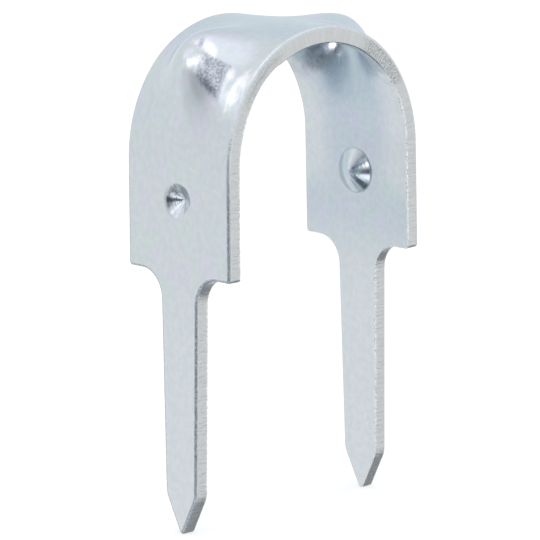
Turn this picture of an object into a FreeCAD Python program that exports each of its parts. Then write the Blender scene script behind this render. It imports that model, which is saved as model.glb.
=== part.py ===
import FreeCAD, Part
import math
import os

# Two-prong drive-on conduit clip, stamped from one strip and bent to a U.
# Millimetres. X runs across the legs, Y along the conduit, Z up to the crown.
# The origin lies in the timber face that the four shoulders seat on, under the middle of the crown.

# Strip and arch
sheet = 1.6                  # thickness of the strip
bore_radius = 11.7           # inside of the arch, half of a 23.4 mm conduit
strap_width = 15.1           # along the conduit
axis_height = 11.05          # axis of the arch above the timber face
leg_lean = 0.6               # degrees by which each leg opens outwards
die_roll = 0.3               # bevel that shearing leaves along the outer face

# Crown, and the bell-shaped knuckles pressed up on the two shoulders of the arch
crown_rise = 0.2             # spring of the strip over a true half circle
knuckle_angle = 43.4         # degrees from the crown to the top of a knuckle
knuckle_span = 19.1          # degrees over which its height falls by 1/e
knuckle_reach = 4.0          # the same, across the strap
knuckle_rise = 3.34          # height over the plain arch
end_fade = 12.0              # degrees over which a knuckle dies out above the leg
edge_fade = 1.6              # the same, beside the sheared edges
section_count = 33           # cross-sections that the arch is lofted through
section_points = 13          # points across one pressed section

# Shoulders and prongs
prong_root_width = 5.5
prong_end_width = 4.6        # where the point begins
prong_length = 27.0          # shoulder to tip
point_length = 4.0
shoulder_fillet = 2.9        # between shoulder and prong
corner_round = 0.4           # outer corners of the shoulders
point_round = 2.5            # where the prong turns into its point
tip_round = 0.35

# Pressed dimples that bite on the conduit
dimple_height = 7.5          # centre above the timber face
dent_radius = 1.83           # mouth of the dent outside
dent_bottom_radius = 0.2
dent_depth = 0.95
dent_rim = 0.3               # rounding of that mouth
bump_foot_radius = 2.4       # bump inside
bump_top_radius = 0.8
bump_height = 1.2
bump_foot_fillet = 0.5
bump_top_fillet = 2.2

outer_radius = bore_radius + sheet
half_width = strap_width / 2
arch_end = 90.0 - leg_lean   # angle from the crown at which the arch becomes a leg
across_legs = FreeCAD.Vector(1, 0, 0)
along_conduit = FreeCAD.Vector(0, 1, 0)


def arch_point(angle, y, radius):
    turn = math.radians(angle)
    return FreeCAD.Vector(radius * math.sin(turn), y, axis_height + radius * math.cos(turn))


def smooth_step(share):
    share = min(1.0, max(0.0, share))
    return share * share * (3 - 2 * share)


def pressed_height(angle, y):
    """Height over the plain arch at this angle from the crown and this place across the strap."""
    around = (abs(angle) - knuckle_angle) / knuckle_span
    bell = math.exp(-around ** 2 - (y / knuckle_reach) ** 2)
    bell *= smooth_step((arch_end - abs(angle)) / end_fade)
    bell *= smooth_step((half_width - abs(y)) / edge_fade)
    return crown_rise * math.cos(math.radians(angle)) ** 3 + knuckle_rise * bell


def pressed_point(angle, y, radius):
    return arch_point(angle, y, radius + pressed_height(angle, y))


def pressed_curve(angle, radius, reach):
    """Curve across the strap from -reach to +reach."""
    shares = [i / (section_points - 1) for i in range(section_points)]
    points = [pressed_point(angle, reach * (2 * share - 1), radius) for share in shares]
    curve = Part.BSplineCurve()
    curve.interpolate(Points=points, Parameters=shares)
    return curve.toShape()


def strip_side(angle, side):
    """Bevel of the die roll and the sheared edge, from the outer face to the inner one."""
    outer = pressed_point(angle, side * (half_width - die_roll), outer_radius)
    rolled = pressed_point(angle, side * half_width, outer_radius - die_roll)
    inner = pressed_point(angle, side * half_width, bore_radius)
    return [Part.makeLine(outer, rolled), Part.makeLine(rolled, inner)]


def strip_section(angle):
    """Closed cross-section of the strip, in the plane through the axis of the arch."""
    outside = pressed_curve(angle, outer_radius, half_width - die_roll)
    inside = pressed_curve(angle, bore_radius, half_width)
    front = strip_side(angle, -1)
    back = strip_side(angle, 1)
    return Part.Wire([outside] + back + [inside] + front[::-1])


def make_arch():
    step = 2 * arch_end / (section_count - 1)
    sections = [strip_section(i * step - arch_end) for i in range(section_count)]
    return Part.makeLoft(sections, True, False)


def leg_point(y, z):
    """Point of the outer face of the leg on the +X side."""
    top = arch_point(arch_end, y, outer_radius)
    return top + FreeCAD.Vector((top.z - z) * math.tan(math.radians(leg_lean)), 0, z - top.z)


def rounded_outline(corners):
    """Closed wire of straight runs, with an arc at each corner that has a radius."""
    arcs = []
    for i, (here, radius) in enumerate(corners):
        before = (corners[i - 1][0] - here).normalize()
        after = (corners[(i + 1) % len(corners)][0] - here).normalize()
        half_angle = before.getAngle(after) / 2
        setback = radius / math.tan(half_angle)
        inset = radius / math.sin(half_angle) - radius
        middle = here + (before + after).normalize() * inset
        arcs.append((here + before * setback, middle, here + after * setback))
    edges = []
    for i, (start, middle, end) in enumerate(arcs):
        if corners[i][1] > 0:
            edges.append(Part.Arc(start, middle, end).toShape())
        edges.append(Part.makeLine(end, arcs[(i + 1) % len(arcs)][0]))
    return Part.Wire(edges)


def point_apex():
    """Height at which the flanks of the point would meet, below its rounded tip."""
    half = prong_end_width / 2
    run = point_length - tip_round
    taper = math.atan2(half, run) - math.asin(tip_round / math.hypot(half, run))
    return point_length - prong_length - half / math.tan(taper)


def leg_outline():
    """Outline of leg, shoulders and prong, seen square on to the leg."""
    half = [
        (half_width, axis_height + sheet, 0),
        (half_width, 0, corner_round),
        (prong_root_width / 2, 0, shoulder_fillet),
        (prong_end_width / 2, point_length - prong_length, point_round),
    ]
    right = [(leg_point(y, z), radius) for y, z, radius in half]
    tip = (leg_point(0, point_apex()), tip_round)
    left = [(leg_point(-y, z), radius) for y, z, radius in half]
    return rounded_outline(right + [tip] + left[::-1])


def above_arch_end():
    """Block over the radial plane in which the arch ends."""
    size = 4 * sheet
    block = Part.makeBox(size, 2 * strap_width, size, FreeCAD.Vector(-size / 2, -strap_width, 0))
    block.rotate(FreeCAD.Vector(0, 0, 0), along_conduit, -leg_lean)
    block.translate(arch_point(arch_end, 0, outer_radius - sheet / 2))
    return block


def cut_blank():
    """Flat leg with its prong, bevelled along its outer face."""
    outline = leg_outline()
    through = across_legs * (-sheet / math.cos(math.radians(leg_lean)))
    blank = Part.Face(outline).extrude(through)
    outer_face = max(blank.Faces, key=lambda face: face.CenterOfMass.x)
    top = max(edge.CenterOfMass.z for edge in outer_face.Edges)
    rolled = [edge for edge in outer_face.Edges if edge.CenterOfMass.z < top - sheet / 10]
    return blank.makeChamfer(die_roll, rolled).cut(above_arch_end())


def round_edges(solid, centre, radius, fillet):
    """Fillet the circular edges of one radius round the dimple."""
    rings = []
    for edge in solid.Edges:
        if isinstance(edge.Curve, Part.Circle) and abs(edge.Curve.Radius - radius) < 1e-4:
            if edge.Curve.Center.distanceToPoint(centre) < 2 * sheet + bump_height:
                rings.append(edge)
    return solid.makeFillet(fillet, rings)


def press_dimple(leg):
    """Conical dent from outside, with the bump that it raises inside."""
    centre = leg_point(0, dimple_height)
    inwards = -(arch_point(arch_end, 0, 1) - arch_point(arch_end, 0, 0))
    bump = Part.makeCone(bump_foot_radius, bump_top_radius, bump_height, centre + inwards * sheet, inwards)
    dent = Part.makeCone(dent_radius, dent_bottom_radius, dent_depth, centre, inwards)
    leg = leg.fuse(bump).cut(dent)
    leg = round_edges(leg, centre, dent_radius, dent_rim)
    leg = round_edges(leg, centre, bump_foot_radius, bump_foot_fillet)
    return round_edges(leg, centre, bump_top_radius, bump_top_fillet)


def make_clip():
    leg = press_dimple(cut_blank())
    other_leg = leg.mirror(FreeCAD.Vector(0, 0, 0), across_legs)
    return make_arch().fuse([leg, other_leg])


os.makedirs("parts", exist_ok=True)
clip = make_clip()
print("valid", clip.isValid(), "solids", len(clip.Solids), "volume mm3", round(clip.Volume, 1))
clip.exportStep("parts/conduit_clip.step")
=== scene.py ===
import math
import bmesh
import bpy
from mathutils import Matrix, Vector, noise as fractal


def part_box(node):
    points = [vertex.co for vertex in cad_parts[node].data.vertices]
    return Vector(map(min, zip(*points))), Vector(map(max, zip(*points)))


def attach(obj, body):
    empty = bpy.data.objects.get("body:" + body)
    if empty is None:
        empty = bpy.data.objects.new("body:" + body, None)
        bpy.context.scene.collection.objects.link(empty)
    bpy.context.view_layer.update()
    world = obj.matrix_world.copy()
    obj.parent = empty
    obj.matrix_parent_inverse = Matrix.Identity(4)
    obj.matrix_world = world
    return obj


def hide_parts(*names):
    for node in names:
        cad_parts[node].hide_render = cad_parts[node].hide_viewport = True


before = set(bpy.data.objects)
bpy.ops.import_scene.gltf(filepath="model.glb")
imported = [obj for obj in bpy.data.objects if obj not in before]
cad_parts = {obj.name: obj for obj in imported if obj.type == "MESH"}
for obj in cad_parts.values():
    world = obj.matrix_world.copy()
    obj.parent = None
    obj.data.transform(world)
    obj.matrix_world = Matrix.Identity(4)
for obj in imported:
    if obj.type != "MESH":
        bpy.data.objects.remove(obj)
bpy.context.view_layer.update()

metre = 0.001  # the clip is modelled in millimetres and brought to metres at the end
lowCorner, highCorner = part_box("conduit_clip")

# strip and arch
strip = {
    "sheet": 1.6,
    "boreRadius": 11.7,
    "axisHeight": 11.05,
    "legLean": math.radians(0.6),
    "width": (highCorner.y - lowCorner.y) / metre,
    "dieRoll": 0.3,
    "rollSteps": 4,
    "burrBreak": 0.08,
    "sharpAngle": math.radians(35),  # edges sharper than this stay sharp
}
strip["midRadius"] = strip["boreRadius"] + strip["sheet"] / 2
strip["archAngle"] = math.radians(90) - strip["legLean"]  # crown to leg
strip["archHalf"] = strip["midRadius"] * strip["archAngle"]  # the same, along the flat strip

# shoulders and prongs
prong = {
    "rootHalf": 2.75,
    "endHalf": 2.3,
    "length": -lowCorner.z / metre,
    "pointLength": 4.0,
    "shoulderFillet": 2.9,
    "cornerRound": 0.4,
    "pointRound": 2.5,
    "tipRound": 0.35,
    "arcSteps": 10,
}
legDrop = strip["axisHeight"] + strip["midRadius"] * math.cos(strip["archAngle"])
seatX = strip["archHalf"] + legDrop / math.cos(strip["legLean"])  # shoulder line on the flat strip
shoulderX = seatX - prong["cornerRound"]  # where the rounding of its corners starts
prongRun = prong["length"] / math.cos(strip["legLean"])
tipX = seatX + prongRun - strip["sheet"] / 2 * math.tan(strip["legLean"])
pointX = tipX - prong["pointLength"]
pointRun = prong["pointLength"] - prong["tipRound"]
pointSlant = math.hypot(prong["endHalf"], pointRun)
taper = math.atan2(prong["endHalf"], pointRun) - math.asin(prong["tipRound"] / pointSlant)
apexX = pointX + prong["endHalf"] / math.tan(taper)  # where the flanks of the point would meet

# pressed forms
crown = {"rise": 0.19, "power": 3}
knuckle = {
    "angle": math.radians(43.4),  # from the crown to the top of the knuckle
    "span": math.radians(19.1),
    "reach": 4.0,
    "rise": 3.34,
    "endFade": math.radians(12),
    "lumps": 0.07,  # uneven skin over the knuckle
    "lumpPitch": 1.6,
}
peel = {  # stretched skin on one flank of each knuckle
    "top": 0.15,
    "bottom": 2.3,
    "flare": 0.42,
    "near": 1.9,
    "far": 4.7,
    "soft": 0.6,
    "lip": 0.5,
    "rise": 0.1,
    "nearSlope": 0.25,  # the raised skin dies out slowly towards the top of the knuckle
    "innerShift": 0.3,
    "innerSoft": 1.6,
}
scuffsAndReflections = [  # painted highlights and painted shade beside that skin, in mm from the top of the knuckle
    {"down": -0.4, "aside": 2.1, "turn": 63, "long": 0.9, "wide": 0.42, "shine": 1.5},
    {"down": -0.3, "aside": 0.7, "turn": 80, "long": 0.5, "wide": 0.25, "shine": 0.8},
    {"down": 1.25, "aside": 1.2, "turn": 121, "long": 1.3, "wide": 0.5, "shine": 0.7},
    {"down": 1.0, "aside": 5.0, "turn": 20, "long": 0.6, "wide": 0.4, "shine": 1.4},
    {"down": 2.2, "aside": 6.3, "turn": -15, "long": 1.9, "wide": 0.75, "shine": 1.6},
    {"down": 1.4, "aside": 5.5, "turn": 0, "long": 1.0, "wide": 0.25, "shine": -0.5},
    {"down": 2.6, "aside": 3.3, "turn": 62, "long": 1.4, "wide": 0.4, "shine": -1.0},
    {"down": -0.2, "aside": 1.2, "turn": 0, "long": 0.3, "wide": 0.25, "shine": -0.8},
]
boreScuffsAndReflections = [  # the same, in the hollow under the knuckle, where the lighter spots are also smoother
    {"down": 0.9, "aside": 1.85, "turn": 90, "long": 0.7, "wide": 0.5, "shine": 1.8},
    {"down": 1.4, "aside": 1.6, "turn": 0, "long": 0.9, "wide": 0.4, "shine": 1.6},
    {"down": 0.9, "aside": 3.4, "turn": 75, "long": 1.4, "wide": 1.1, "shine": -1.1},
]
trails = [  # specks that trail from the stretched skin over the top of the knuckle
    {"down": -0.55, "aside": 1.1, "turn": 30, "long": 0.8, "wide": 0.34, "shine": 0.85},
]
edgeForm = {  # how pressing the knuckles works the inner corner of the sheared edge
    "start": 6.0,
    "full": 7.6,
    "end": 9.0,
    "gone": 15.5,
    "thickened": 0.1,  # on the side away from the stretched skin
    "thinned": 0.15,  # beside that skin
    "reach": 2.4,
}
dimple = {
    "place": seatX - 7.5,
    "dent": {"foot": 1.9, "height": 1.07, "nose": 0.06, "rim": 0.06},
    "bump": {"foot": 2.62, "height": 1.15, "nose": 1.0, "rim": 0.04},
    "rings": 26,
    "spotSoft": 0.2,  # a spot fades in over this, on either side of its start
    "footOut": 0.05,  # and dies out between these, outside and inside the foot
    "footIn": 0.35,
}
dimple["dent"]["scuffsAndReflections"] = [  # painted highlights and painted shade in a dimple, turned from the point of the prong in degrees, starting in mm from the middle
    {"turn": -155, "spread": 32, "from": 0.3, "shine": -1.5},
    {"turn": 138, "spread": 30, "from": 0.8, "shine": -0.8},
    {"turn": 75, "spread": 14, "from": 1.2, "shine": -1.0},
    {"turn": 112, "spread": 40, "from": 1.45, "shine": -1.0},
    {"turn": -72, "spread": 32, "from": 0.2, "shine": 1.0},
]
dimple["bump"]["scuffsAndReflections"] = [
    {"turn": -124, "spread": 17, "from": 0.8, "shine": 1.3},
    {"turn": -47, "spread": 14, "from": 0.5, "shine": -1.2},
]
dimple["dent"]["frostsAndHighlights"] = []
# the bump's matt flank, also painted pale as a highlight
dimple["bump"]["frostsAndHighlights"] = [{"turn": -158, "spread": 24, "from": 0.3, "shine": 1.0}]

photoView = {
    "azimuth": math.radians(43.25),
    "elevation": math.radians(11.37),
    "roll": math.radians(-0.773),
    "distance": 358.9 * metre,
    "lens": 233.33,
    "sensor": 36.0,
    "aimRight": -0.38 * metre,
    "aimUp": -12.30 * metre,
    "clipStart": 10 * metre,
}


def deselectAll():
    if bpy.context.object and bpy.context.object.mode != 'OBJECT':
        bpy.ops.object.mode_set(mode='OBJECT')
    bpy.ops.object.select_all(action='DESELECT')


def makeActive(piece):
    deselectAll()
    piece.select_set(True)
    bpy.context.view_layer.objects.active = piece


def applyModifier(piece, name):
    makeActive(piece)
    bpy.ops.object.modifier_apply(modifier=name)


def blankCorners():
    quarter = [
        (seatX, strip["width"] / 2, prong["cornerRound"]),
        (seatX, prong["rootHalf"], prong["shoulderFillet"]),
        (pointX, prong["endHalf"], prong["pointRound"]),
    ]
    front = [(x, -y, r) for x, y, r in quarter]
    right = quarter + [(apexX, 0, prong["tipRound"])] + front[::-1]
    return right + [(-x, -y, r) for x, y, r in right]  # clockwise from the right-hand shoulder


def bezierCorners(corners):
    points = []
    for i, (x, y, radius) in enumerate(corners):
        here = Vector((x, y, 0))
        before = Vector((*corners[i - 1][:2], 0)) - here
        after = Vector((*corners[(i + 1) % len(corners)][:2], 0)) - here
        half = before.angle(after) / 2
        setback = radius / math.tan(half)
        pull = setback - radius * 4 / 3 * math.tan((math.pi / 2 - half) / 2)  # handle that makes an arc
        before.normalize()
        after.normalize()
        points.append((here + before * setback, None, here + before * pull))
        points.append((here + after * setback, here + after * pull, None))
    return points


def cutBlank():
    deselectAll()
    outline = bpy.data.curves.new("blankOutline", 'CURVE')
    outline.dimensions = '2D'
    outline.fill_mode = 'NONE'
    outline.resolution_u = prong["arcSteps"]
    points = bezierCorners(blankCorners())
    spline = outline.splines.new('BEZIER')
    spline.bezier_points.add(len(points) - 1)
    for i, (place, left, right) in enumerate(points):
        point = spline.bezier_points[i]
        point.handle_left_type = point.handle_right_type = 'FREE'
        point.co = place
        point.handle_left = left or place.lerp(points[i - 1][0], 1 / 3)  # straight sides
        point.handle_right = right or place.lerp(points[(i + 1) % len(points)][0], 1 / 3)
    spline.use_cyclic_u = True
    blank = bpy.data.objects.new("clip", outline)
    bpy.context.scene.collection.objects.link(blank)
    makeActive(blank)
    bpy.ops.object.convert(target='MESH')
    bpy.ops.object.mode_set(mode='EDIT')
    bpy.ops.mesh.select_all(action='SELECT')
    bpy.ops.mesh.edge_face_add()
    bpy.ops.object.mode_set(mode='OBJECT')
    wall = blank.modifiers.new("thickness", 'SOLIDIFY')
    wall.thickness = strip["sheet"]
    wall.offset = 0
    applyModifier(blank, "thickness")
    bpy.ops.object.mode_set(mode='EDIT')
    bpy.ops.mesh.select_all(action='SELECT')
    bpy.ops.mesh.normals_make_consistent(inside=False)
    bpy.ops.object.mode_set(mode='OBJECT')
    print("blank cut:", len(blank.data.polygons), "faces", tuple(round(d, 2) for d in blank.dimensions))
    return blank


picking = {
    "upright": 0.1,  # at most this much of a face's normal points through the sheet
    "flat": 0.99,  # at least this much
    "sameLevel": 0.01,
}


def selectRim(piece, level):
    bpy.ops.mesh.select_mode(type='EDGE')
    bpy.ops.mesh.select_all(action='DESELECT')
    mesh = bmesh.from_edit_mesh(piece.data)
    for edge in mesh.edges:
        flat = all(abs(v.co.z - level) < picking["sameLevel"] for v in edge.verts)
        upright = [abs(f.normal.z) < picking["upright"] for f in edge.link_faces]
        edge.select_set(flat and any(upright) and not all(upright))
    mesh.select_flush_mode()
    bmesh.update_edit_mesh(piece.data)


def rollEdges(blank):
    makeActive(blank)
    bpy.ops.object.mode_set(mode='EDIT')
    selectRim(blank, strip["sheet"] / 2)
    bpy.ops.mesh.bevel(offset=strip["dieRoll"], segments=strip["rollSteps"], affect='EDGES')
    selectRim(blank, -strip["sheet"] / 2)
    bpy.ops.mesh.bevel(offset=strip["burrBreak"], segments=1, affect='EDGES')
    bpy.ops.object.mode_set(mode='OBJECT')
    print("edges rolled:", len(blank.data.polygons), "faces")


def cutLines(places, direction):
    for place in places:
        bpy.ops.mesh.select_all(action='SELECT')
        bpy.ops.mesh.bisect(plane_co=direction * place, plane_no=direction)


grid = {
    "archCells": 28,
    "acrossCells": 10,
    "windowCells": 2,  # half of the square window that the rings of a dimple fill
    "cellsBelow": 5,  # from the dimple down the leg
    "shoulderGap": 0.2,
    "refine": 5,
    "outerRing": 0.92,  # radius of the outermost ring, as a share of the window
    "windowBorder": 0.999,  # edges beyond this share of the window are its border
    "weld": 0.003,
}


def ruleBlank(blank):
    makeActive(blank)
    bpy.ops.object.mode_set(mode='EDIT')
    bpy.ops.mesh.select_mode(type='FACE')
    flatHalf = strip["width"] / 2 - strip["dieRoll"]
    cell = 2 * flatHalf / grid["acrossCells"]
    archLines = [strip["archHalf"] * (2 * i / grid["archCells"] - 1) for i in range(grid["archCells"] + 1)]
    legCells = range(-grid["windowCells"], grid["cellsBelow"] + 1)
    legLines = [dimple["place"] + cell * k for k in legCells]
    legLines = [x for x in legLines if x < shoulderX - grid["shoulderGap"]] + [shoulderX]
    cutLines(archLines + legLines + [-x for x in legLines], Vector((1, 0, 0)))
    halfCells = grid["acrossCells"] // 2
    cutLines([cell * k for k in range(1 - halfCells, halfCells)], Vector((0, 1, 0)))
    bpy.ops.mesh.select_all(action='DESELECT')
    mesh = bmesh.from_edit_mesh(blank.data)
    for face in mesh.faces:
        face.select_set(abs(face.calc_center_median().x) < shoulderX)
    bmesh.update_edit_mesh(blank.data)
    bpy.ops.mesh.subdivide(number_cuts=grid["refine"])
    bpy.ops.object.mode_set(mode='OBJECT')
    print("blank ruled:", len(blank.data.polygons), "faces")
    return cell


def ringPatch(window):
    steps = 2 * grid["windowCells"] * (grid["refine"] + 1)
    deselectAll()
    bpy.ops.mesh.primitive_grid_add(x_subdivisions=steps, y_subdivisions=steps, size=2 * window)
    patch = bpy.context.object
    bpy.ops.object.mode_set(mode='EDIT')
    bpy.ops.mesh.delete(type='ONLY_FACE')
    bpy.ops.mesh.select_mode(type='EDGE')
    bpy.ops.mesh.select_all(action='DESELECT')
    mesh = bmesh.from_edit_mesh(patch.data)
    for edge in mesh.edges:
        middle = (edge.verts[0].co + edge.verts[1].co) / 2
        edge.select_set(max(abs(middle.x), abs(middle.y)) > window * grid["windowBorder"])
    mesh.select_flush_mode()
    bmesh.update_edit_mesh(patch.data)
    bpy.ops.mesh.select_all(action='INVERT')
    bpy.ops.mesh.delete(type='EDGE')
    bpy.ops.mesh.select_all(action='SELECT')
    radius = window * grid["outerRing"]
    bpy.ops.mesh.extrude_edges_move()
    mesh = bmesh.from_edit_mesh(patch.data)
    for vert in mesh.verts:
        if vert.select:
            vert.co = vert.co.normalized() * radius
    bmesh.update_edit_mesh(patch.data)
    for i in range(1, dimple["rings"]):
        bpy.ops.mesh.extrude_edges_move()
        ratio = (dimple["rings"] - i) / (dimple["rings"] - i + 1)
        bpy.ops.transform.resize(value=(ratio, ratio, 1), center_override=(0, 0, 0))
    bpy.ops.mesh.extrude_edges_move()
    bpy.ops.mesh.merge(type='CENTER')
    bpy.ops.object.mode_set(mode='OBJECT')
    return patch


def ringDimples(blank, window):
    makeActive(blank)
    bpy.ops.object.mode_set(mode='EDIT')
    bpy.ops.mesh.select_mode(type='FACE')
    bpy.ops.mesh.select_all(action='DESELECT')
    mesh = bmesh.from_edit_mesh(blank.data)
    for face in mesh.faces:
        place = face.calc_center_median()
        inside = max(abs(abs(place.x) - dimple["place"]), abs(place.y)) < window
        face.select_set(inside and abs(face.normal.z) > picking["flat"])
    bmesh.update_edit_mesh(blank.data)
    bpy.ops.mesh.delete(type='FACE')
    patch = ringPatch(window)
    copies = []
    for side in (-1, 1):
        for level in (-strip["sheet"] / 2, strip["sheet"] / 2):
            copy = patch.copy()
            copy.data = patch.data.copy()
            copy.location = (side * dimple["place"], 0, level)
            bpy.context.scene.collection.objects.link(copy)
            copies.append(copy)
    bpy.data.objects.remove(patch)
    makeActive(blank)
    for copy in copies:
        copy.select_set(True)
    bpy.ops.object.join()
    bpy.ops.object.mode_set(mode='EDIT')
    bpy.ops.mesh.select_all(action='SELECT')
    bpy.ops.mesh.remove_doubles(threshold=grid["weld"])
    bpy.ops.mesh.normals_make_consistent(inside=False)
    bpy.ops.object.mode_set(mode='OBJECT')
    print("dimples ringed:", len(blank.data.polygons), "faces")


marks = [
    ("wall", 'FLOAT', 'FACE'),  # sheared edge of the strip
    ("rim", 'FLOAT', 'FACE'),  # die roll and burr beside it
    ("flatPlace", 'FLOAT_VECTOR', 'POINT'),  # place on the flat strip
    ("strain", 'FLOAT', 'POINT'),  # stretched skin on the knuckles, and its trail
    ("shine", 'FLOAT', 'POINT'),  # painted highlight above zero, painted shade below it
    ("frostAndHighlight", 'FLOAT', 'POINT'),  # matt flank of a bump, painted pale as a highlight
    ("stretch", 'FLOAT', 'POINT'),  # height of the knuckles, from 0 to 1
    ("dimpleTurn", 'FLOAT_VECTOR', 'POINT'),  # turn about a dimple, and depth
]


def smoothStep(low, high, value):
    share = min(1.0, max(0.0, (value - low) / (high - low)))
    return share * share * (3 - 2 * share)


def softened(value, radius):
    return (value + math.hypot(value, radius)) / 2


def knuckleBell(x, y):
    angle = abs(x) / strip["midRadius"]
    around = (angle - knuckle["angle"]) / knuckle["span"]
    bell = math.exp(-around ** 2 - (y / knuckle["reach"]) ** 2)
    return bell * smoothStep(0, knuckle["endFade"], strip["archAngle"] - angle)


def crownHeight(x, y, z):
    lump = fractal.noise(Vector((x, y, 0)) / knuckle["lumpPitch"])
    bell = knuckleBell(x, y) * (knuckle["rise"] + knuckle["lumps"] * lump)
    skin = peel["rise"] * peelMask(x, y, peel["lip"], peel["nearSlope"])
    spring = crown["rise"] * math.cos(x / strip["midRadius"]) ** crown["power"]
    outer = smoothStep(-strip["sheet"] / 2, strip["sheet"] / 2, z)  # the bore stays smooth and round
    return bell + (spring + skin) * outer - edgeDrop(x, y, z)


def knucklePlace(x, y):
    down = abs(x) - knuckle["angle"] * strip["midRadius"]
    return down, math.copysign(1, x) * y  # from the top of the knuckle


def peelMask(x, y, soft, nearSlope=1.0):
    down, aside = knucklePlace(x, y)
    below = down - peel["bottom"] - peel["flare"] * (aside - peel["near"])
    outside = max(peel["top"] - down, below, (peel["near"] - aside) * nearSlope, aside - peel["far"])
    return 1 - smoothStep(-soft, soft, outside)


# adds up listed spots round a knuckle: painted highlights and painted shade, or a trail of skin specks
def spotShine(x, y, spots):
    down, aside = knucklePlace(x, y)
    shine = 0
    for spot in spots:
        turn = math.radians(spot["turn"])
        u, v = down - spot["down"], aside - spot["aside"]
        along = (u * math.cos(turn) + v * math.sin(turn)) / spot["long"]
        across = (v * math.cos(turn) - u * math.sin(turn)) / spot["wide"]
        shine += spot["shine"] * math.exp(-along ** 2 - across ** 2)
    return max(-1.0, min(1.0, shine))


# painted highlights and painted shade in a dimple, by turn and distance from its middle
def dimpleShine(form, spots, angle, radius):
    shine = 0
    for spot in form[spots]:
        swing = (math.degrees(angle) - spot["turn"] + 180) % 360 - 180
        reach = smoothStep(spot["from"] - dimple["spotSoft"], spot["from"] + dimple["spotSoft"], radius)
        shine += spot["shine"] * reach * math.exp(-(swing / spot["spread"]) ** 2)
    within = smoothStep(form["foot"] + dimple["footOut"], form["foot"] - dimple["footIn"], radius)
    return max(-1.0, min(1.0, shine)) * within


def edgeDrop(x, y, z):
    side = edgeForm["thickened"] if x * y < 0 else -edgeForm["thinned"]
    side *= smoothStep(edgeForm["start"], edgeForm["full"], abs(x))
    side *= smoothStep(edgeForm["gone"], edgeForm["end"], abs(x))
    side *= smoothStep(strip["width"] / 2 - edgeForm["reach"], strip["width"] / 2, abs(y))
    return side * smoothStep(strip["sheet"] / 2, -strip["sheet"] / 2, z)


def coneHeight(form, radius):
    slope = form["height"] / (form["foot"] - form["nose"])
    return softened(slope * (form["foot"] - math.hypot(radius, form["nose"])), form["rim"])


def markBlank(mesh):
    for name, kind, domain in marks:
        mesh.attributes.new(name, kind, domain)
    wall = mesh.attributes["wall"].data
    rim = mesh.attributes["rim"].data
    for face in mesh.polygons:
        tilt = abs(face.normal.z)
        wall[face.index].value = float(tilt < picking["upright"])
        rim[face.index].value = float(picking["upright"] <= tilt < picking["flat"])
    place = mesh.attributes["flatPlace"].data
    for vert in mesh.vertices:
        place[vert.index].vector = vert.co


def pressBlank(blank):
    mesh = blank.data
    markBlank(mesh)
    strain = mesh.attributes["strain"].data
    shine = mesh.attributes["shine"].data
    frostAndHighlight = mesh.attributes["frostAndHighlight"].data
    stretch = mesh.attributes["stretch"].data
    turn = mesh.attributes["dimpleTurn"].data
    for i, vert in enumerate(mesh.vertices):
        x, y, z = vert.co
        if abs(x) < strip["archHalf"]:
            vert.co.z += crownHeight(x, y, z)
            shift = math.copysign(peel["innerShift"], x) if z < 0 else 0
            strain[i].value = peelMask(x, y - shift, peel["soft"] if z > 0 else peel["innerSoft"])
            if z > 0:
                strain[i].value = max(strain[i].value, spotShine(x, y, trails))
            # painted highlights and painted shade round the knuckles
            shine[i].value = spotShine(x, y, scuffsAndReflections if z > 0 else boreScuffsAndReflections)
            stretch[i].value = knuckleBell(x, y)
        radius = math.hypot(abs(x) - dimple["place"], y)
        if radius < 2 * dimple["bump"]["foot"]:  # well past both forms
            form = dimple["dent"] if z > 0 else dimple["bump"]
            drop = coneHeight(form, radius)
            vert.co.z -= drop
            angle = math.atan2(y, abs(x) - dimple["place"])
            turn[i].vector = (math.cos(angle), math.sin(angle), drop / form["height"])
            shine[i].value += dimpleShine(form, "scuffsAndReflections", angle, radius)
            frostAndHighlight[i].value = dimpleShine(form, "frostsAndHighlights", angle, radius)
    print("crown and dimples pressed")


def bendBlank(clip):
    makeActive(clip)
    clip.rotation_euler = (0, -math.pi / 2, 0)  # on end, outer face to -X
    bpy.ops.object.transform_apply(rotation=True)
    bend = clip.modifiers.new("bend", 'SIMPLE_DEFORM')
    bend.deform_method = 'BEND'
    bend.deform_axis = 'Y'
    bend.angle = 2 * strip["archAngle"]
    bentShare = strip["archHalf"] / (2 * tipX)
    bend.limits = (0.5 - bentShare, 0.5 + bentShare)
    applyModifier(clip, "bend")
    clip.rotation_euler = (0, math.pi / 2, 0)  # crown up
    clip.scale = (metre, metre, metre)
    bpy.ops.object.transform_apply(rotation=True, scale=True)
    lift = (strip["axisHeight"] + strip["midRadius"]) * metre
    clip.data.transform(Matrix.Translation((0, 0, lift)))
    bpy.ops.object.shade_smooth_by_angle(angle=strip["sharpAngle"])
    clip.modifiers.new("flats", 'WEIGHTED_NORMAL').keep_sharp = True
    applyModifier(clip, "flats")
    print("clip bent:", [tuple(round(c, 5) for c in corner) for corner in clip.bound_box][0::6])


def makeClip():
    blank = cutBlank()
    rollEdges(blank)
    cell = ruleBlank(blank)
    ringDimples(blank, grid["windowCells"] * cell)
    pressBlank(blank)
    bendBlank(blank)
    return blank


def addNode(tree, kind, inputs, **settings):
    node = tree.nodes.new("ShaderNode" + kind)
    for name, value in settings.items():
        setattr(node, name, value)
    for name, value in inputs.items():
        if isinstance(value, bpy.types.NodeSocket):
            tree.links.new(value, node.inputs[name])
        else:
            node.inputs[name].default_value = value
    return node


def attribute(tree, name, output):
    return addNode(tree, "Attribute", {}, attribute_name=name).outputs[output]


def mathNode(tree, operation, a, b=0.0):
    return addNode(tree, "Math", {0: a, 1: b}, operation=operation).outputs["Value"]


def product(tree, first, *others):
    for other in others:
        first = mathNode(tree, 'MULTIPLY', first, other)
    return first


def total(tree, first, *others):
    for other in others:
        first = mathNode(tree, 'ADD', first, other)
    return first


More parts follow.
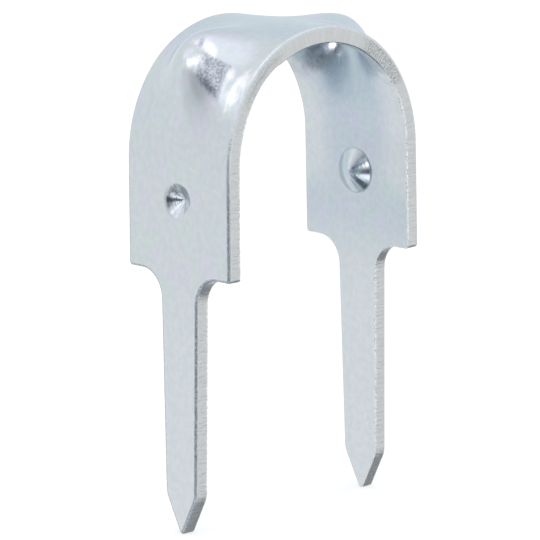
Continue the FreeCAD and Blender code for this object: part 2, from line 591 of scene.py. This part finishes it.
def centred(tree, value):
    return mathNode(tree, 'SUBTRACT', value, 0.5)  # noise runs from 0 to 1


def scaled(tree, vector, scale):
    return addNode(tree, "VectorMath", {0: vector, 1: scale}, operation='MULTIPLY').outputs["Vector"]


def fade(tree, value, low, high, outLow=0.0, outHigh=1.0):
    limits = {"Value": value, "From Min": low, "From Max": high, "To Min": outLow, "To Max": outHigh}
    return addNode(tree, "MapRange", limits, interpolation_type='SMOOTHSTEP').outputs["Result"]


def blend(tree, factor, a, b, kind='MIX'):
    inputs = {"Factor": factor, "A": a, "B": b}
    return addNode(tree, "Mix", inputs, data_type='RGBA', blend_type=kind).outputs["Result"]


zinc = {
    "tint": (0.625, 0.674, 0.714, 1),
    "greenTint": (0.614, 0.687, 0.695, 1),
    "lavenderTint": (0.644, 0.665, 0.739, 1),
    # prongs painted a little lighter, for the brighter light they mirror
    "prongLitTint": (0.65, 0.697, 0.732, 1),
    "mottleTint": (0.955, 0.958, 0.961, 1),
    # painted shade in the crease round the foot of a bump
    "creaseShadeTint": (0.80, 0.82, 0.84, 1),
    # painted shade over the bore, deepest up the arch
    "boreShadeTint": (0.74, 0.815, 0.885, 1),
    "shearTint": (0.625, 0.652, 0.667, 1),
    "streakTint": (0.93, 0.93, 0.92, 1),
    "strainTint": (0.52, 0.56, 0.62, 1),
    # pitted stretched skin, and the painted shadow line under the burr over the arch
    "pitAndShadowTint": (0.30, 0.33, 0.38, 1),
    # painted shade
    "paintedShadeTint": (0.50, 0.52, 0.55, 1),
    # painted highlight, on the lighter spots and on the matt flank of a bump
    "highlightTint": (0.88, 0.90, 0.93, 1),
    "rollTint": (0.58, 0.59, 0.61, 1),
    "fractureTint": (0.50, 0.53, 0.54, 1),
    # painted glints on the burr
    "burrGlintTint": (0.95, 0.96, 0.97, 1),
    "roughness": 0.25,
    "brushing": 0.02,  # spread of that roughness
    "wallRoughness": 0.1,  # these are added to it
    "burrRoughness": 0.6,
    "frostAndHighlightRoughness": 0.4,
    "stretchPolish": 0.09,  # and these taken away
    "dentPolish": 0.17,
    "bumpPolish": 0.12,
    "raggedSkin": 0.9,  # how far noise moves the limits of the stretched skin
    "unevenSpots": 1.1,
    "skinDensity": 0.5,
    "crackWander": 0.4,
    "crackDrop": 0.1,
    "satinRelief": 0.001,
    "shearRelief": 0.06,
}
patterns = {  # noise over the flat strip in mm, squeezed along it, across it and through it
    "pits": {"scale": 5.5, "detail": 2},
    "grains": {"scale": 5, "detail": 3},
    "stripes": {"scale": 5, "detail": 2, "squeeze": (1, 1, 0.12)},
    "raggedSpots": {"scale": 2.2, "detail": 3, "squeeze": (0.7, 1.3, 1)},
    "green": {"scale": 0.45, "detail": 3},
    "lavender": {"scale": 0.3, "detail": 3},
    "mottle": {"scale": 1.5, "detail": 4},
    "density": {"scale": 1.1, "detail": 2},
    "wander": {"scale": 1.2, "detail": 2, "squeeze": (0.6, 1, 1)},
    "brushed": {"scale": 1.0, "detail": 3, "squeeze": (0.12, 5, 1)},
    "satin": {"scale": 7, "detail": 3},
    "rings": {"scale": 1, "detail": 2, "squeeze": (1.2, 1.2, 9)},  # over the turn and depth of a dimple
    "shear": {"scale": 4, "detail": 3},
}
fades = {  # where a mark starts and where it is full, then what it gives there if not 0 and 1
    # height in the sheet, in mm
    "inner": (0.3, -0.3),
    "rollFace": (0.5, 0.62),
    "burrFace": (-0.5, -0.68),
    "crackLine": (0.22, 0.05),
    "polishFace": (-0.3, 0.3, zinc["bumpPolish"], zinc["dentPolish"]),
    "scoredFace": (-0.3, 0.3, 0.014, 0.05),
    # distance from the crown along the strip, in mm
    "belowArch": (strip["archHalf"] - 2, strip["archHalf"] + 4),
    "burrLegs": (11, 14),
    # where the painted shadow line under the burr runs, over the top of the arch
    "burrShadow": (11.5, 8.5),
    # where the prongs are painted lighter
    "prong": (seatX, seatX + 8),
    # how deep the painted shade over the bore is along the strip, and where it lightens near the edges
    "legDeep": (seatX + 3, seatX - 4, 0, 0.5),
    "archDeep": (seatX - 4, strip["archHalf"] * 0.4, 0, 0.5),
    "paleAlong": (seatX - 4, seatX - 9),
    # distance from the middle of the strip, and along it from the top of a knuckle, in mm
    # where that painted shade lightens, towards both edges of the strip
    "paleAcross": (2.5, 7.3),
    "cracked": (4.5, 2),
    # product of the places along and across the strip
    "thickSide": (20, -20),
    # noise
    "green": (0.45, 0.65),
    "lavender": (0.5, 0.7),
    "mottle": (0.36, 0.64),
    "skinLight": (0.33, 0.67),
    "streaks": (0.38, 0.62),
    "brokenGrains": (0.44, 0.6),
    # painted glints along the burr
    "burrDots": (0.45, 0.56),
    "burrSpecks": (0.3, 0.45),
    "wornRoll": (0.65, 0.4, 0.35, 1),
    "brushed": (0.3, 0.7, zinc["roughness"], zinc["roughness"] + zinc["brushing"]),
    # marks on the mesh
    "peeled": (0.3, 0.8),
    # painted highlights above the shine mark, painted shade below it
    "burnishAndHighlight": (0.05, 1.1),
    "paintedShade": (-0.1, -1),
    "stretched": (0.1, 0.5),
    # depth in a dimple, as a share
    "polished": (0.02, 0.15),
    "scored": (0.02, 0.3),
    # where the painted shade in the crease round a bump's foot lies
    "creaseStart": (0, 0.03),
    "creaseEnd": (0.1, 0.05),
    "burnishFlat": (0, 0.05, 2, 0),
    # from the outer face to the bore
    "skinInside": (0, 1, 1, 0.45),
    "stretchedInside": (0, 1, 1, -0.4),
    "tornInside": (0, 1, 0.05, 0.2),
    "grittyInside": (0, 1, 0.04, 0.012),
    # from the thinned to the thickened side of the edge
    "brokenSide": (0, 1, 0.3, 0.9),
    "crackSide": (0, 1, 0.1, 0.22),
    "thinSide": (1, 0),
}


def pattern(tree, place, name):
    form = patterns[name]
    if "squeeze" in form:
        place = scaled(tree, place, form["squeeze"])
    inputs = {"Vector": place, "Scale": form["scale"], "Detail": form["detail"]}
    return addNode(tree, "TexNoise", inputs).outputs[0]


def faded(tree, value, name):
    return fade(tree, value, *fades[name])


def strapMarks(tree):
    names = ("wall", "rim", "strain", "shine", "frostAndHighlight", "stretch")
    at = {name: attribute(tree, name, "Fac") for name in names}
    at["place"] = attribute(tree, "flatPlace", "Vector")
    at["turn"] = attribute(tree, "dimpleTurn", "Vector")
    at["x"], at["y"], at["z"] = addNode(tree, "SeparateXYZ", {0: at["place"]}).outputs
    at["pressed"] = addNode(tree, "SeparateXYZ", {0: at["turn"]}).outputs["Z"]
    at["along"] = mathNode(tree, 'ABSOLUTE', at["x"])
    at["across"] = mathNode(tree, 'ABSOLUTE', at["y"])
    at["inner"] = faded(tree, at["z"], "inner")
    for name in ("pits", "grains", "stripes"):
        at[name] = pattern(tree, at["place"], name)
    at["burr"] = product(tree, at["rim"], at["inner"])
    corner = product(tree, at["wall"], faded(tree, at["z"], "burrFace"))
    corner = product(tree, corner, faded(tree, at["along"], "burrLegs"))
    # painted glints dotted along the burr's corner down the legs
    at["dots"] = product(tree, corner, faded(tree, at["pits"], "burrDots"))
    rolled = product(tree, at["rim"], faded(tree, at["z"], "rollFace"))
    at["roll"] = product(tree, rolled, faded(tree, at["along"], "belowArch"))
    ragged = product(tree, centred(tree, at["pits"]), zinc["raggedSkin"])
    at["peeled"] = faded(tree, total(tree, at["strain"], ragged), "peeled")
    # painted highlights and painted shade, with ragged edges
    uneven = product(tree, centred(tree, pattern(tree, at["place"], "raggedSpots")), zinc["unevenSpots"])
    raggedSpots = total(tree, at["shine"], uneven)
    at["burnishAndHighlight"] = faded(tree, raggedSpots, "burnishAndHighlight")
    at["paintedShade"] = faded(tree, raggedSpots, "paintedShade")
    beside = mathNode(tree, 'SUBTRACT', at["along"], knuckle["angle"] * strip["midRadius"])
    at["cracked"] = product(tree, at["wall"], faded(tree, mathNode(tree, 'ABSOLUTE', beside), "cracked"))
    at["thick"] = faded(tree, product(tree, at["x"], at["y"]), "thickSide")
    return at


def plateColour(tree, at):
    colour = zinc["tint"]
    for name in ("green", "lavender"):
        patches = faded(tree, pattern(tree, at["place"], name), name)
        colour = blend(tree, patches, colour, zinc[name + "Tint"])
    # prongs painted a little lighter, for the brighter light they mirror
    colour = blend(tree, faded(tree, at["along"], "prong"), colour, zinc["prongLitTint"])
    mottle = faded(tree, pattern(tree, at["place"], "mottle"), "mottle")
    colour = blend(tree, mottle, colour, zinc["mottleTint"], 'MULTIPLY')
    # painted shade over the bore, deepest up the arch and lighter near both edges of the strip
    boreShade = total(tree, faded(tree, at["along"], "legDeep"), faded(tree, at["along"], "archDeep"))
    paleEdge = product(tree, faded(tree, at["across"], "paleAcross"), faded(tree, at["along"], "paleAlong"))
    boreShade = mathNode(tree, 'SUBTRACT', boreShade, paleEdge)
    return blend(tree, product(tree, at["inner"], boreShade), colour, zinc["boreShadeTint"], 'MULTIPLY')


def skinColour(tree, at, colour):
    density = product(tree, centred(tree, pattern(tree, at["place"], "density")), zinc["skinDensity"])
    light = faded(tree, total(tree, at["pits"], density), "skinLight")
    skin = blend(tree, light, zinc["pitAndShadowTint"], zinc["strainTint"])
    colour = blend(tree, product(tree, at["peeled"], faded(tree, at["inner"], "skinInside")), colour, skin)
    # painted shade, then painted highlights, over the knuckles and dimples
    colour = blend(tree, at["paintedShade"], colour, zinc["paintedShadeTint"], 'MULTIPLY')
    # the matt flank of a bump takes the painted highlight too
    pale = mathNode(tree, 'MAXIMUM', at["burnishAndHighlight"], at["frostAndHighlight"])
    colour = blend(tree, pale, colour, zinc["highlightTint"])
    # painted shade in the crease round the foot of each bump on the bore
    creaseShade = product(tree, at["inner"], faded(tree, at["pressed"], "creaseStart"))
    creaseShade = product(tree, creaseShade, faded(tree, at["pressed"], "creaseEnd"))
    return blend(tree, creaseShade, colour, zinc["creaseShadeTint"], 'MULTIPLY')


def shearColour(tree, at, colour):
    colour = blend(tree, at["wall"], colour, zinc["shearTint"])
    streaks = product(tree, at["wall"], faded(tree, at["stripes"], "streaks"))
    colour = blend(tree, streaks, colour, zinc["streakTint"], 'MULTIPLY')
    broken = product(tree, at["cracked"], faded(tree, at["thick"], "brokenSide"))
    broken = product(tree, broken, faded(tree, at["grains"], "brokenGrains"))
    colour = blend(tree, broken, colour, zinc["fractureTint"])
    wander = product(tree, centred(tree, pattern(tree, at["place"], "wander")), zinc["crackWander"])
    height = total(tree, at["z"], wander, zinc["crackDrop"])
    line = faded(tree, mathNode(tree, 'ABSOLUTE', height), "crackLine")
    line = product(tree, at["cracked"], faded(tree, at["thick"], "thinSide"), line)
    colour = blend(tree, line, colour, zinc["fractureTint"])
    worn = product(tree, at["roll"], faded(tree, at["pits"], "wornRoll"))
    colour = blend(tree, worn, colour, zinc["rollTint"], 'MULTIPLY')
    # painted glints on the burr, and a painted shadow line under it over the top of the arch
    colour = blend(tree, at["dots"], colour, zinc["burrGlintTint"])
    specks = blend(tree, faded(tree, at["pits"], "burrSpecks"), zinc["fractureTint"], zinc["burrGlintTint"])
    specks = blend(tree, faded(tree, at["along"], "burrShadow"), specks, zinc["pitAndShadowTint"])
    return blend(tree, at["burr"], colour, specks)


def plateRoughness(tree, at):
    rough = faded(tree, pattern(tree, at["place"], "brushed"), "brushed")
    for name in ("wall", "burr", "frostAndHighlight"):
        rough = total(tree, rough, product(tree, at[name], zinc[name + "Roughness"]))
    polish = product(tree, faded(tree, at["z"], "polishFace"), faded(tree, at["pressed"], "polished"))
    worked = faded(tree, at["stretch"], "stretched")
    worked = product(tree, worked, faded(tree, at["inner"], "stretchedInside"))
    # painted highlights on the bore are also given a smoother finish
    burnishAndHighlight = product(tree, at["inner"], at["burnishAndHighlight"], faded(tree, at["pressed"], "burnishFlat"))
    worked = total(tree, worked, burnishAndHighlight)
    polish = total(tree, polish, product(tree, worked, zinc["stretchPolish"]))
    return mathNode(tree, 'SUBTRACT', rough, polish)


def plateRelief(tree, at):
    satin = product(tree, pattern(tree, at["place"], "satin"), zinc["satinRelief"])
    torn = product(tree, at["rim"], faded(tree, at["inner"], "tornInside"))
    gritty = total(tree, product(tree, at["peeled"], faded(tree, at["inner"], "grittyInside")), torn)
    speckle = product(tree, centred(tree, at["pits"]), gritty)
    cracks = product(tree, centred(tree, at["grains"]), at["cracked"], faded(tree, at["thick"], "crackSide"))
    rings = product(tree, pattern(tree, at["turn"], "rings"), faded(tree, at["pressed"], "scored"))
    scored = product(tree, rings, faded(tree, at["z"], "scoredFace"))
    shear = total(tree, at["stripes"], pattern(tree, at["place"], "shear"))
    shear = product(tree, shear, at["wall"], zinc["shearRelief"])
    return total(tree, satin, speckle, cracks, scored, shear)


def zincPlate():
    material = bpy.data.materials.new("zincPlate")
    material.use_nodes = True
    tree = material.node_tree
    shader = tree.nodes["Principled BSDF"]
    at = strapMarks(tree)
    colour = shearColour(tree, at, skinColour(tree, at, plateColour(tree, at)))
    tree.links.new(colour, shader.inputs["Base Color"])
    tree.links.new(plateRoughness(tree, at), shader.inputs["Roughness"])
    bump = addNode(tree, "Bump", {"Height": plateRelief(tree, at), "Strength": 1.0, "Distance": metre})
    tree.links.new(bump.outputs["Normal"], shader.inputs["Normal"])
    shader.inputs["Metallic"].default_value = 1
    print("zinc plate mixed:", len(tree.nodes), "nodes")
    return material


def makeCamera():
    az, el, roll = photoView["azimuth"], photoView["elevation"], photoView["roll"]
    look = Vector((math.sin(az) * math.cos(el), math.cos(az) * math.cos(el), -math.sin(el)))
    right = Vector((math.cos(az), -math.sin(az), 0))
    up = right.cross(look)
    right, up = (right * math.cos(roll) + up * math.sin(roll), up * math.cos(roll) - right * math.sin(roll))
    aim = Vector((0, 0, strip["axisHeight"] * metre)) + right * photoView["aimRight"]
    aim += up * photoView["aimUp"]
    lens = bpy.data.cameras.new("photoCamera")
    lens.sensor_width = photoView["sensor"]
    lens.lens = photoView["lens"]
    lens.clip_start = photoView["clipStart"]
    camera = bpy.data.objects.new("photoCamera", lens)
    place = aim - look * photoView["distance"]
    turn = Matrix((right, up, -look)).transposed()
    camera.matrix_world = Matrix.Translation(place) @ turn.to_4x4()
    bpy.context.scene.collection.objects.link(camera)
    bpy.context.scene.camera = camera
    print("camera set")


studio = {
    "backdrop": (1, 1, 1, 1),
    "zones": [  # patches of light and shade that the metal mirrors, in degrees
        {"azimuth": 0, "elevation": -90, "inner": 20, "outer": 46, "colour": (0.44, 0.49, 0.54, 1)},
        {"azimuth": 0, "elevation": 90, "inner": 10, "outer": 32, "colour": (1.21, 1.2, 1.28, 1)},
        {"azimuth": 47, "elevation": 16, "inner": 8, "outer": 45, "colour": (0.8, 0.87, 0.92, 1)},
        {"azimuth": 98, "elevation": 4, "inner": 12, "outer": 34, "colour": (0.925, 0.96, 0.965, 1)},
        {"azimuth": 131, "elevation": 17, "inner": 2, "outer": 10, "colour": (0.92, 0.94, 0.96, 1)},
        {"azimuth": 133, "elevation": -18, "inner": 3, "outer": 9, "colour": (1.08, 1.07, 1.06, 1)},
        {"azimuth": 128, "elevation": -50, "inner": 3, "outer": 9, "colour": (0.5, 0.58, 0.62, 1)},
        {"azimuth": 140, "elevation": -70, "inner": 8, "outer": 20, "colour": (0.66, 0.72, 0.76, 1)},
        {"azimuth": -20, "elevation": -44, "inner": 11, "outer": 24, "colour": (0.1, 0.12, 0.13, 1)},
        {"azimuth": 10, "elevation": -52, "inner": 8, "outer": 18, "colour": (0.24, 0.27, 0.29, 1)},
        {"azimuth": 57, "elevation": -16, "inner": 9, "outer": 16, "colour": (2.0, 2.0, 2.05, 1)},
        {"azimuth": 170, "elevation": 0, "inner": 0, "outer": 38, "colour": (0.8, 0.81, 0.84, 1)},
        {"azimuth": 174, "elevation": 4, "inner": 0, "outer": 17, "colour": (0.58, 0.59, 0.62, 1)},
        {"azimuth": 159, "elevation": -17, "inner": 2, "outer": 16, "colour": (0.62, 0.68, 0.75, 1)},
        {"azimuth": 148, "elevation": 45, "inner": 6, "outer": 16, "colour": (1.18, 1.18, 1.24, 1)},
        {"azimuth": 138, "elevation": 31, "inner": 3, "outer": 9, "colour": (1.25, 1.25, 1.32, 1)},
        {"azimuth": 178, "elevation": -56, "inner": 4, "outer": 20, "colour": (0.2, 0.23, 0.255, 1)},
        {"azimuth": -164, "elevation": -64, "inner": 6, "outer": 16, "colour": (0.2, 0.225, 0.245, 1)},
        {"azimuth": -179, "elevation": 24, "inner": 2, "outer": 6, "colour": (1.15, 1.15, 1.2, 1)},
        {"azimuth": -179, "elevation": 35, "inner": 6, "outer": 9, "colour": (1.5, 1.5, 1.56, 1)},
        {"azimuth": 164, "elevation": 28, "inner": 5, "outer": 10, "colour": (1.5, 1.5, 1.56, 1)},
        {"azimuth": -168, "elevation": 44, "inner": 5, "outer": 9, "colour": (1.5, 1.5, 1.56, 1)},
        {"azimuth": -142, "elevation": -9, "inner": 12, "outer": 24, "colour": (0.05, 0.05, 0.06, 1)},
        {"azimuth": -171, "elevation": -8, "inner": 8, "outer": 15, "colour": (0.18, 0.18, 0.2, 1)},
        {"azimuth": -160, "elevation": 15, "inner": 5, "outer": 10, "colour": (1.6, 1.6, 1.7, 1)},
        {"azimuth": -177, "elevation": -31, "inner": 4, "outer": 7, "colour": (1.4, 1.4, 1.5, 1)},
        {"azimuth": -159, "elevation": -26, "inner": 6, "outer": 11, "colour": (1.7, 1.7, 1.8, 1)},
        {"azimuth": -168, "elevation": -58, "inner": 6, "outer": 12, "colour": (1.7, 1.7, 1.8, 1)},
    ],
    "lamps": [  # sizes and distances in metres
        {"azimuth": -105, "elevation": 58, "size": 0.3, "distance": 0.8, "power": 0.3},
        {"azimuth": -30, "elevation": 50, "size": 0.3, "distance": 0.8, "power": 0.15},
    ],
}


def compass(azimuth, elevation):
    az, el = math.radians(azimuth), math.radians(elevation)
    return Vector((math.cos(az) * math.cos(el), math.sin(az) * math.cos(el), math.sin(el)))


def makeWorld():
    world = bpy.data.worlds.new("studio")
    world.use_nodes = True
    tree = world.node_tree
    direction = addNode(tree, "TexCoord", {}).outputs["Generated"]
    colour = studio["backdrop"]
    for zone in studio["zones"]:
        inputs = {0: direction, 1: compass(zone["azimuth"], zone["elevation"])}
        facing = addNode(tree, "VectorMath", inputs, operation='DOT_PRODUCT').outputs["Value"]
        outer, inner = (math.cos(math.radians(zone[ring])) for ring in ("outer", "inner"))
        colour = blend(tree, fade(tree, facing, outer, inner), colour, zone["colour"])
    seen = addNode(tree, "LightPath", {}).outputs["Is Camera Ray"]
    tree.links.new(blend(tree, seen, colour, studio["backdrop"]), tree.nodes["Background"].inputs["Color"])
    bpy.context.scene.world = world
    print("studio zones:", len(studio["zones"]))


def makeLamps():
    for i, lamp in enumerate(studio["lamps"]):
        area = bpy.data.lights.new("softbox" + str(i), 'AREA')
        area.size = lamp["size"]
        area.energy = lamp["power"]
        softbox = bpy.data.objects.new(area.name, area)
        softbox.location = compass(lamp["azimuth"], lamp["elevation"]) * lamp["distance"]
        softbox.rotation_euler = softbox.location.to_track_quat('Z', 'Y').to_euler()
        bpy.context.scene.collection.objects.link(softbox)


floorLook = {
    "size": 4,  # metres
    "grey": (0.5, 0.5, 0.5, 1),
    "glow": 0.55,  # brings it to white, for the camera alone
}


def floorWhite():
    material = bpy.data.materials.new("floorWhite")
    material.use_nodes = True
    tree = material.node_tree
    shader = tree.nodes["Principled BSDF"]
    shader.inputs["Base Color"].default_value = floorLook["grey"]
    shader.inputs["Roughness"].default_value = 1
    shader.inputs["Specular IOR Level"].default_value = 0
    shader.inputs["Emission Color"].default_value = studio["backdrop"]
    seen = addNode(tree, "LightPath", {}).outputs["Is Camera Ray"]
    tree.links.new(product(tree, seen, floorLook["glow"]), shader.inputs["Emission Strength"])
    return material


def makeFloor():
    deselectAll()
    bpy.ops.mesh.primitive_plane_add(size=floorLook["size"], location=(0, 0, lowCorner.z))
    floor = bpy.context.object
    floor.name = "floor"
    floor.visible_glossy = False  # the metal mirrors the studio alone
    floor.data.materials.append(floorWhite())
    print("floor laid")


clip = makeClip()
clip.data.materials.append(zincPlate())
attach(clip, "root")
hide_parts("conduit_clip")
bpy.context.scene.view_settings.view_transform = 'Standard'
makeCamera()
makeWorld()
makeLamps()
makeFloor()
